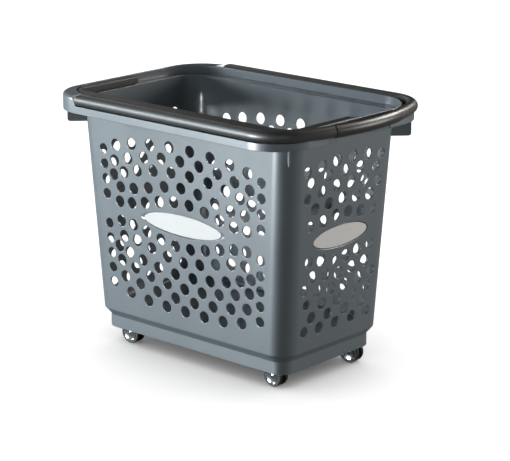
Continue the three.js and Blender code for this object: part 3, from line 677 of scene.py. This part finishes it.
def labelShape(side, levels):
    # levels are growth round the plate's outline, depth, and how far the tips are drawn out
    outlines = []
    for by, depth, drawn in levels:
        length = label["halfLength"][side] + by + label["tip"][side] * drawn
        power = label["oval"]
        if label["tip"][side]:
            power += (label["pointed"] - label["oval"]) * drawn
        outlines.append((labelOutline(length, label["halfHeight"] + by, power), depth))
    return wallRings(side, 0, holes["labelZ"], outlines)


def labelSeats():
    margin, gap, depth, wall = label["margin"], label["gap"], label["depth"], tub["wall"]
    back, edge = depth + label["backing"], label["backingEdge"]
    outside = margin + wall / 2
    border = [(margin + by, down, drawn) for by, down, drawn in label["outerEdge"]]
    border += [(gap + by, down, drawn) for by, down, drawn in label["innerEdge"]]
    opening = (border[0][0], -beyond, 1)
    pads, recesses = [], []
    for side in wallTurns:
        pads.append(loft(labelShape(side, [(outside, wall / 2, 1), (outside, back - edge, 1),
                                           (outside - edge, back, 1)])))
        recesses.append(loft(labelShape(side, [opening, *border, (gap, depth, 0)])))
    return pads, recesses


def makeBasketBody():
    walls, cavity, below = tubWalls()
    filled, hollow = closedEnd()
    pads, recesses = labelSeats()
    combine(walls, "UNION", rimRing(), upstand())
    combine(walls, "DIFFERENCE", cavity, below, fingerGap())
    combine(walls, "UNION", filled)
    combine(walls, "DIFFERENCE", hollow)
    combine(walls, "UNION", *gussets(), *pullBosses(), *pads)
    combine(walls, "DIFFERENCE", *recesses)
    combine(walls, "DIFFERENCE", holeCutters())
    return polish(walls, "basketBody", tubMaterial)


def show(obj, body, slot, *nodes):
    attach(obj, body)
    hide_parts(*nodes)
    return obj


show(makeBasketBody(), "tub", "tub_plastic", "basket_body")
print("basket body made")


def makeLabel(side):
    back = label["depth"] - label["seat"]
    front = back - label["thickness"]
    levels = [(by, front + down, 0) for by, down in label["plateEdge"]]
    plate = loft(labelShape(side, levels + [(0, back, 0)]))
    return polish(plate, "labelPlate_" + side, labelMaterial)


for side in wallTurns:
    show(makeLabel(side), "tub", "label_plastic", "label_plate_" + side)
print("labels made")


def onBow(angle):
    middle, radius = pull["bowReach"] - pull["bowRadius"], pull["bowRadius"]
    return middle + radius * math.cos(angle), radius * math.sin(angle)


def railLine(steps=18):
    # the pull handle's centre line in plan: arms, bends and the bowed grip
    bowX, radius = pull["bowReach"] - pull["bowRadius"], pull["bendRadius"]
    bendY = pull["halfSpan"] - radius
    bendX = bowX + math.sqrt((pull["bowRadius"] - radius) ** 2 - bendY ** 2)
    meet = math.atan2(bendY, bendX - bowX)
    armEnd = pull["pivotX"] - pull["radius"] - 2 * beyond
    points = [(armEnd, -pull["halfSpan"]), (0, -pull["halfSpan"])]
    for step in range(steps):
        angle = -math.pi / 2 + (math.pi / 2 - meet) * step / steps
        points.append((bendX + radius * math.cos(angle), radius * math.sin(angle) - bendY))
    points += [onBow(meet * step / steps - meet) for step in range(2 * steps + 1)]
    return points + [(x, -y) for x, y in reversed(points[:steps + 2])]


def gripLine(steps=24):
    half = math.asin(pull["gripHalfLength"] / pull["bowRadius"])
    return [onBow(half * 2 * step / steps - half) for step in range(steps + 1)]


def sweep(line, radii, sides=32):
    # round sections along a level line; each entry of radii is a radius for one point of it
    rings = []
    for i, (x, y) in enumerate(line):
        before, after = Vector(line[max(i - 1, 0)]), Vector(line[min(i + 1, len(line) - 1)])
        forward = (after - before).normalized()
        across = Vector((-forward.y, forward.x, 0))
        rings.append([Vector((x, y, pull["z"])) + across * u + Vector((0, 0, v))
                      for u, v in circle(radii[i], sides)])
    return rings


def makePullHandle(steps=24):
    # a tube whose arms end in half rounds about the pivots
    line = railLine()
    x, z, radius = pull["pivotX"], pull["z"], pull["radius"]
    tube = loft(sweep(line, [radius] * len(line)))
    arc = [math.pi * (0.5 + step / steps) for step in range(steps + 1)]
    clear = 1.001  # keeps the cutter off the top and bottom of the tube
    end = [(x + radius * math.cos(a), z + radius * clear * math.sin(a)) for a in arc]
    high, low = z + 2 * radius, z - 2 * radius
    shape = [(farAway, high), (x, high), *end, (x, low), (farAway, low)]
    combine(tube, "INTERSECT", plateAlongY(shape, -farAway, farAway))
    return polish(tube, "pullHandle", handleMaterial, sharp=50)


def makeGrip(sides=48):
    # a sleeve with rounded ends
    line = gripLine()
    full, bore = pull["gripRadius"], pull["radius"] + pull["gripGap"]
    first, last = Vector(line[0]), Vector(line[-1])
    start, end = (first - Vector(line[1])).normalized(), (last - Vector(line[-2])).normalized()
    ends = [(out, full - inset) for out, inset in pull["gripEnd"]]
    outer = [(tuple(first + start * out), radius) for out, radius in ends]
    outer += [(point, full) for point in line[1:-1]]
    outer += [(tuple(last + end * out), radius) for out, radius in reversed(ends)]
    skin = sweep([point for point, _ in outer], [radius for _, radius in outer], sides)
    sleeve = loft(skin + sweep(line, [bore] * len(line), sides)[::-1], True)
    return polish(sleeve, "pullGrip", gripMaterial, sharp=50)


show(makePullHandle(), "pull_handle", "handle_plastic", "pull_handle")
show(makeGrip(), "pull_handle", "grip_plastic", "pull_handle_grip")
print("pull handle made")

carry = {
    "clearance": 1.5,
    "lowZ": 473.8,
    "height": 15,
    "innerRadius": 24,
    "edge": 2.2,
}


def makeCarryHandle():
    # the front half of a ring, with a round eye at each end
    outer = grow(ledgeOutline, -carry["clearance"])
    length, width, _ = tubOutline(rim["ledgeZ"], tub["wall"] - carry["clearance"] / 2)
    low, edge = carry["lowZ"], carry["edge"]
    high = low + carry["height"]
    bar = block(outer, low, high, edge, edge)
    opening = block((length, width, carry["innerRadius"]), low, high, -edge, -edge)
    combine(bar, "DIFFERENCE", opening)
    under, over = low - 2 * beyond, high + 2 * beyond
    front = plateAlongY([(-farAway, under), (farAway, under), (farAway, over), (-farAway, over)],
                        -farAway, 0)
    combine(bar, "INTERSECT", front)
    rounding = [(carry["height"] / 2 - by, rise) for by, rise in quarterRound(edge)]
    profile = [(radius, length + rise) for radius, rise in rounding]
    profile += [(radius, outer[0] - rise) for radius, rise in reversed(rounding)]
    eyes = [loft(turned(profile, (0, 0, (low + high) / 2), (side, 0, 0), 40))
            for side in (1, -1)]
    combine(bar, "UNION", *eyes)
    return polish(bar, "carryHandle", carryMaterial, sharp=50)


show(makeCarryHandle(), "carry_handle", "carry_plastic", "carry_handle")
print("carry handle made")

pins = {"pullRadius": 2.5, "carryRadius": 2.4, "edge": 0.6, "endGap": 0.3}


def makePin(name, middle, axis, radius, low, high):
    edge = pins["edge"]
    profile = [(radius - edge, low), (radius, low + edge), (radius, high - edge),
               (radius - edge, high)]
    return polish(loft(turned(profile, middle, axis)), name, steelMaterial, sharp=50)


for word, side in (("front", -1), ("rear", 1)):
    low = ledgeOutline[1] + pins["endGap"]
    high = pull["halfSpan"] + pull["radius"] / 2 - pins["endGap"]
    pin = makePin("pullPin_" + word, (pull["pivotX"], 0, pull["z"]), (0, side, 0),
                  pins["pullRadius"], low, high)
    show(pin, "tub", "pin_steel", "pull_pivot_pin_" + word)
for word, side in (("left", -1), ("right", 1)):
    low = tubOutline(rim["ledgeZ"], tub["wall"])[0] + tub["wall"] / 2
    pin = makePin("carryPin_" + word, (0, 0, carry["lowZ"] + carry["height"] / 2), (side, 0, 0),
                  pins["carryRadius"], low, rim["recessWall"][0] - pins["endGap"])
    show(pin, "tub", "pin_steel", "carry_pivot_pin_" + word)
print("pivot pins made")

caster = {
    "wheelRadius": 20,
    "trail": 9,
    "treadWidth": 8.1,
    "webHalf": 3,
    "gap": 0.4,
    "rimRadius": 16.6,
    "axleRadius": 2,
    "axleInset": 3.9,
    "hubRadius": 4.8,
    "webHubRadius": 5,
    "hoodGap": 1.2,
    "hoodThickness": 2.2,
    "hoodBack": 48,
    "hoodFront": 14,
    "hoodEdge": 0.7,
    "bossRadius": 8,
    "bossEdge": 0.6,
    "footSpread": 1.2,
    "footHeight": 2,
    "footDepth": 3,
    "topZ": 49.7,
    "stemRadius": 4,
    "stemLowZ": 42.2,
    "stemHighZ": 69,
    "grooveZ": (63, 65),
    "grooveDepth": 0.6,
    "headings": {"front_left": 4, "front_right": 180, "rear_right": 8, "rear_left": 152},
}
wheelY = caster["webHalf"] + caster["gap"] + caster["treadWidth"] / 2
casterHalf = wheelY + caster["treadWidth"] / 2


def arcLine(radius, start, end, steps=24):
    for step in range(steps + 1):
        angle = math.radians(start + (end - start) * step / steps)
        yield caster["trail"] + radius * math.cos(angle), \
            caster["wheelRadius"] + radius * math.sin(angle)


def hoodMesh():
    # a curved cover over both wheels, the web between them and the boss on top
    inner = caster["wheelRadius"] + caster["hoodGap"]
    outer = inner + caster["hoodThickness"]
    start, end = caster["hoodBack"], 180 - caster["hoodFront"]
    edge, web = caster["hoodEdge"], caster["webHalf"]
    rounding = ((0, edge), (edge * 0.3, edge * 0.3), (edge, 0))
    levels = [(depth - casterHalf, by) for depth, by in rounding]
    levels += [(casterHalf - depth, by) for depth, by in reversed(rounding)]
    rings = []
    for y, by in levels:
        outside = arcLine(outer - by, start + by * 2, end - by * 2)
        inside = arcLine(inner + by * 0.4, end - by * 2, start + by * 2)
        rings.append([(x, y, z) for line in (outside, inside) for x, z in line])
    hood = loft(rings)
    low = caster["wheelRadius"] + math.sqrt(inner ** 2 - caster["trail"] ** 2)
    radius, foot = caster["bossRadius"], caster["bossRadius"] + caster["footSpread"]
    boss = loft(lathe([(foot, low - caster["footDepth"]), (foot, low),
                       (radius, low + caster["footHeight"]),
                       (radius, caster["topZ"] - caster["bossEdge"]),
                       (radius - caster["bossEdge"], caster["topZ"])], 40))
    axle = (caster["trail"], 0, caster["wheelRadius"])
    room = [loft(turned([(inner, near), (inner, far)], axle, (0, 1, 0), 64))
            for near, far in ((web, 2 * casterHalf), (-2 * casterHalf, -web))]
    combine(boss, "DIFFERENCE", *room)
    webLine = [*arcLine(caster["webHubRadius"], 180, 360, 16), *arcLine(outer - 1, start, end)]
    combine(hood, "UNION", boss, plateAlongY(webLine, -web, web))
    return hood


# the wheels' profiles are points of radius and height, and +Z points out along the axle
def wheelPiece(profile, name, material, closed=False):
    return polish(loft(lathe(profile, 64), closed), name, material, sharp=50)


def corePiece(name):
    face, hub, out = caster["treadWidth"] / 2, caster["hubRadius"], caster["rimRadius"]
    profile = softened([(0.4, -face), (hub, -face), (hub, 1 - face), (out - 3, 1.6 - face),
                        (out, 1.2 - face), (out, face - 0.7), (out - 1.4, face - 0.7),
                        (out - 1.6, face - 2), (hub, face - 3.6), (0.4, face - 3.6)], 0.5, 3)
    return wheelPiece(profile, name, casterMaterial)


def tyrePiece(name):
    face, inner, out = caster["treadWidth"] / 2, caster["rimRadius"] + 0.3, caster["wheelRadius"]
    profile = softened([(inner, 0), (inner, 0.6 - face), (out - 1.2, -face),
                        (out - 0.1, 1.2 - face), (out, 0), (out - 0.1, face - 1.2),
                        (out - 1.2, face), (inner, face - 0.2), (inner, 0)], 1.1, 4)
    return wheelPiece(profile[:-1], name, tyreMaterial, True)


def capPiece(name):
    # a dished cap with a rolled rim and a small button in the middle
    face, out = caster["treadWidth"] / 2, caster["rimRadius"] - 1.7
    dish = [(out * share, face - 2.6 + 2.0 * share ** 2.4) for share in
            (0.28, 0.4, 0.5, 0.6, 0.7, 0.8, 0.88, 0.93)]
    profile = [(0.3, face - 3.2), (out * 0.5, face - 3.1), (out - 0.6, face - 1.8),
               (out, face - 1.2), (out, face - 0.5), (out - 0.3, face - 0.22),
               (out - 0.8, face - 0.22)]
    profile += [(r, h) for r, h in reversed(dish)]
    profile += [(3.6, face - 2.2), (3.1, face - 1.75), (2.2, face - 1.5), (0.3, face - 1.42)]
    return wheelPiece(profile, name, chromeMaterial)


def stemPiece(name):
    # a round pin with a groove for its clip
    low, high, radius = caster["stemLowZ"], caster["stemHighZ"], caster["stemRadius"]
    grooveLow, grooveHigh = caster["grooveZ"]
    neck = radius - caster["grooveDepth"]
    profile = [(radius - 0.5, low), (radius, low + 0.5), (radius, grooveLow),
               (neck, grooveLow + 0.2), (neck, grooveHigh - 0.2), (radius, grooveHigh),
               (radius, high - 1), (radius - 1, high)]
    return polish(loft(lathe(profile, 32)), name, steelMaterial, sharp=50)


def makeCaster(corner, heading):
    x, y, _ = joints[corner + "_caster_swivel"]["pos_m"]
    place = Matrix.Translation((x, y, 0)) @ Matrix.Rotation(math.radians(heading), 4, "Z")
    swivel = corner + "_swivel"
    axle = (caster["trail"], 0, caster["wheelRadius"])
    hood = polish(hoodMesh(), corner + "_hood", casterMaterial, sharp=42)
    hood.matrix_world = place
    show(hood, swivel, "caster_plastic", corner + "_caster_hood")
    reach = casterHalf - caster["axleInset"]
    pin = makePin(corner + "_axle", axle, (0, 1, 0), caster["axleRadius"], -reach, reach)
    pin.matrix_world = place
    show(pin, swivel, "pin_steel", corner + "_caster_axle")
    stem = stemPiece(corner + "_stem")
    stem.matrix_world = place
    show(stem, "tub", "pin_steel", corner + "_caster_stem")
    for letter, side in (("a", -1), ("b", 1)):
        body = f"{corner}_wheel_{letter}"
        hub = Matrix.Translation((Vector(axle) + Vector((0, side * wheelY, 0))) * mm)
        outwards = Matrix.Rotation(math.radians(-90 * side), 4, "X")
        for make, part, slot in ((corePiece, "core", "caster_plastic"),
                                 (tyrePiece, "tyre", "tyre_rubber"),
                                 (capPiece, "hub_cap", "cap_chrome")):
            piece = make(f"{corner}_{part}_{letter}")
            piece.matrix_world = place @ hub @ outwards
            show(piece, body, slot, f"{body}_{part}")


for corner, heading in caster["headings"].items():
    makeCaster(corner, heading)
print("casters made")

studio = {
    "floorSize": 30,
    "paper": 0.2,
    "paperSun": 20.5,
    "paperSunAngle": 156,
    "paperSunTilt": (6, -12),
    "paperGlow": 0.08,  # keeps the shadow under the basket open
    "bounce": 0.1,
    "gleam": 0.12,  # how much of the lit paper a glossy face sees
    "background": 1.0,
    "ambient": 0.01,
    "aim": (0, 0, 0.28),  # where the softboxes point
}


def makeFloor():
    # the camera sees white paper under its own soft overhead light; what the floor throws back
    # at the basket is an even, dimmer glow
    mesh = bmesh.new()
    bmesh.ops.create_grid(mesh, x_segments=1, y_segments=1, size=studio["floorSize"])
    floor = toObject(mesh, "studioFloor")
    material, start = startMaterial("studioPaper")
    seen = start.node("ShaderNodeLightPath", {}, {}, "Is Camera Ray")
    glossy = start.node("ShaderNodeLightPath", {}, {}, "Is Glossy Ray")
    bounce = start.node("ShaderNodeEmission", {}, {"Strength": (1 - glossy) * studio["bounce"]})
    paper = start.node("ShaderNodeBsdfDiffuse", {}, {"Color": (studio["paper"],) * 3 + (1,)})
    glow = start.node("ShaderNodeEmission", {}, {"Strength": studio["paperGlow"]})
    litPaper = start.node("ShaderNodeAddShader", {}, {0: paper, 1: glow})
    share = seen + glossy * studio["gleam"]
    surface = start.node("ShaderNodeMixShader", {}, {0: share, 1: bounce, 2: litPaper})
    start.node("ShaderNodeOutputMaterial", {}, {"Surface": surface})
    floor.data.materials.append(material)
    lamp = addLamp("paperLight", "SUN", studio["paperSun"])
    lamp.data.angle = math.radians(studio["paperSunAngle"])
    tiltX, tiltY = studio["paperSunTilt"]
    lamp.rotation_euler = (math.radians(tiltX), math.radians(tiltY), 0)
    floorOnly = bpy.data.collections.new("litByPaperLight")
    floorOnly.objects.link(floor)
    lamp.light_linking.receiver_collection = floorOnly
    allButFloor = bpy.data.collections.new("notTheFloor")
    allButFloor.objects.link(floor)
    allButFloor.collection_objects[0].light_linking.link_state = "EXCLUDE"


def makeWorld():
    world = bpy.data.worlds.new("studioWorld")
    world.use_nodes = True
    world.node_tree.nodes.clear()
    start = Signal(world.node_tree)
    seen = start.node("ShaderNodeLightPath", {}, {}, "Is Camera Ray")
    strength = studio["ambient"] + seen * (studio["background"] - studio["ambient"])
    sky = start.node("ShaderNodeBackground", {}, {"Color": (1, 1, 1, 1), "Strength": strength})
    start.node("ShaderNodeOutputWorld", {}, {"Surface": sky})
    bpy.context.scene.world = world


def addLamp(name, kind, power):
    light = bpy.data.lights.new(name, kind)
    light.energy = power
    lamp = bpy.data.objects.new(name, light)
    bpy.context.scene.collection.objects.link(lamp)
    lamp.visible_camera = False
    return lamp


# azimuth is measured from the front towards the basket's right
softboxes = {
    "farKey": {"azimuth": -55, "elevation": 5, "distance": 5.0, "size": (1.4, 1.5),
               "power": 322, "colour": (0.86, 0.95, 1.0)},
    "highKey": {"azimuth": -30, "elevation": 35, "distance": 2.6, "size": (0.8, 0.8),
                "power": 10, "colour": (0.88, 0.95, 1.0)},
    "fillLight": {"azimuth": 135, "elevation": 10, "distance": 3.0, "size": (1.0, 0.9),
                  "power": 40, "colour": (1.0, 0.98, 0.95)},
    "eyeFill": {"azimuth": 50, "elevation": 8, "distance": 3.0, "size": (1.0, 1.0),
                "power": 8, "colour": (0.86, 0.95, 1.0)},
    "farLeft": {"azimuth": -120, "elevation": 35, "distance": 2.6, "size": (0.8, 0.8),
                "power": 4, "colour": (1.0, 1.0, 1.0)},
    "cornerStrip": {"azimuth": -17, "elevation": 0, "distance": 2.6, "size": (0.25, 0.52),
                    "power": 238, "colour": (0.86, 0.95, 1.0), "glossOnly": True},
    "backGleam": {"azimuth": 165, "elevation": 35, "distance": 2.6, "size": (0.8, 0.6),
                  "power": 50, "colour": (1.0, 0.96, 0.92), "glossOnly": True},
}


def addSoftbox(name, box):
    lamp = addLamp(name, "AREA", box["power"])
    lamp.data.shape = "RECTANGLE"
    lamp.data.size, lamp.data.size_y = box["size"]
    lamp.data.color = box["colour"]
    azimuth, elevation = math.radians(box["azimuth"]), math.radians(box["elevation"])
    toLight = Vector((math.sin(azimuth) * math.cos(elevation),
                      -math.cos(azimuth) * math.cos(elevation), math.sin(elevation)))
    lamp.location = Vector(studio["aim"]) + toLight * box["distance"]
    lamp.rotation_euler = toLight.to_track_quat("Z", "Y").to_euler()
    lamp.light_linking.receiver_collection = bpy.data.collections["notTheFloor"]
    lamp.visible_diffuse = not box.get("glossOnly", False)


makeFloor()
makeWorld()
for name, box in softboxes.items():
    addSoftbox(name, box)

view = {
    "place": (2.4536, -2.6673, 1.2473),
    "tilt": 74.378,
    "turn": 42.08,
    "lens": 143.4,
    "sensor": 36,
}
lensData = bpy.data.cameras.new("camera")
lensData.lens = view["lens"]
lensData.sensor_width = view["sensor"]
lensData.sensor_fit = "HORIZONTAL"
cameraObject = bpy.data.objects.new("camera", lensData)
bpy.context.scene.collection.objects.link(cameraObject)
cameraObject.location = view["place"]
cameraObject.rotation_euler = (math.radians(view["tilt"]), 0, math.radians(view["turn"]))
bpy.context.scene.camera = cameraObject
bpy.context.scene.view_settings.view_transform = "Standard"
print("studio made")
